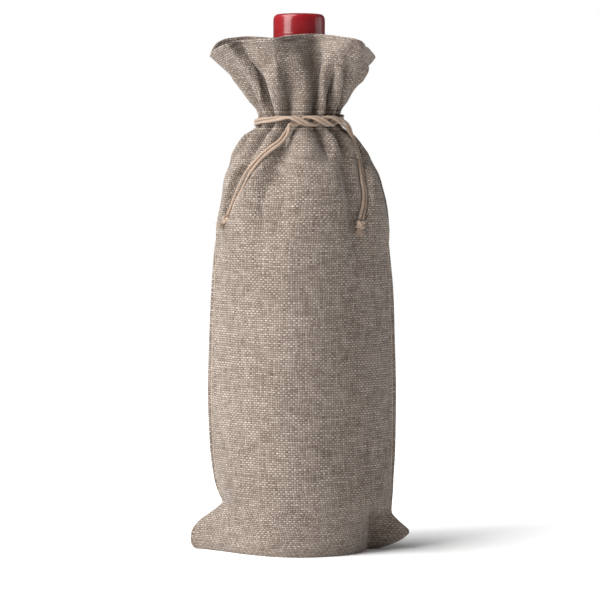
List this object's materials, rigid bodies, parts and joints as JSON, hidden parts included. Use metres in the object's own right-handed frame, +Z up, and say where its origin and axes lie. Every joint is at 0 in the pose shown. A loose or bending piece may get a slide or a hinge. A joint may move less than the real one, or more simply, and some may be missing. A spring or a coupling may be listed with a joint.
{
  "type": "wine gift bag",
  "caption": "Linen-look drawstring gift bag tied round a corked and capsuled wine bottle, with a gathered ruffle and knotted cord tails.",
  "frame": {"origin": "on the surface the bag stands on, below the bottle's axis and at the centre of the bag's base", "axes": "+Z up along the bottle's axis, -Y towards the front where the cords are tied, +X to the right seen from the front"},
  "size_m": [0.1246, 0.0796, 0.3054],
  "materials": {
    "linen": "plain weave, heathered beige and brown yarns, matt",
    "linen_inside": "plain weave with raw edges, matt",
    "sewing_thread": "spun polyester thread",
    "drawcord": "fine round braid, slight sheen",
    "bottle_glass": "dark green bottle glass, polished",
    "wine": "red wine, clear liquid",
    "cork": "natural cork",
    "capsule_foil": "glossy red shrink foil"
  },
  "bodies": {
    "bag": {"front_panel": "linen", "back_panel": "linen", "left_seam_allowance": "linen_inside", "right_seam_allowance": "linen_inside", "bottom_seam_allowance": "linen_inside", "left_side_stitching": "sewing_thread", "right_side_stitching": "sewing_thread", "front_casing": "linen", "front_lower_casing_stitching": "sewing_thread", "front_upper_casing_stitching": "sewing_thread", "back_casing": "linen", "back_lower_casing_stitching": "sewing_thread", "back_upper_casing_stitching": "sewing_thread", "front_header": "linen", "back_header": "linen", "left_cord_in_casing": "drawcord", "right_cord_in_casing": "drawcord", "left_cord_first_strand": "drawcord", "left_cord_second_strand": "drawcord", "right_cord_first_strand": "drawcord", "right_cord_second_strand": "drawcord"},
    "bottle": {"bottle_glass": "bottle_glass", "wine": "wine", "cork": "cork", "capsule_skirt": "capsule_foil", "capsule_disc": "capsule_foil"},
    "left_cord_tail": {"left_cord_first_tail": "drawcord", "left_cord_second_tail": "drawcord", "left_cord_end_knot": "drawcord"},
    "right_cord_tail": {"right_cord_first_tail": "drawcord", "right_cord_second_tail": "drawcord", "right_cord_end_knot": "drawcord"}
  },
  "joints": [
    {"name": "bottle_lift", "type": "slide", "parent": "bag", "child": "bottle", "axis": [0, 0, 1], "range_m": [0, 0.008]},
    {"name": "left_cord_tail_swing", "type": "hinge", "parent": "bag", "child": "left_cord_tail", "pos_m": [0.0286, -0.0129, 0.238], "axis": [-0.5071, -0.8452, -0.169], "range_deg": [0, 80]},
    {"name": "right_cord_tail_swing", "type": "hinge", "parent": "bag", "child": "right_cord_tail", "pos_m": [-0.00645, -0.027, 0.2384], "axis": [-0.6116, 0.7645, 0.2039], "range_deg": [0, 80]}
  ]
}
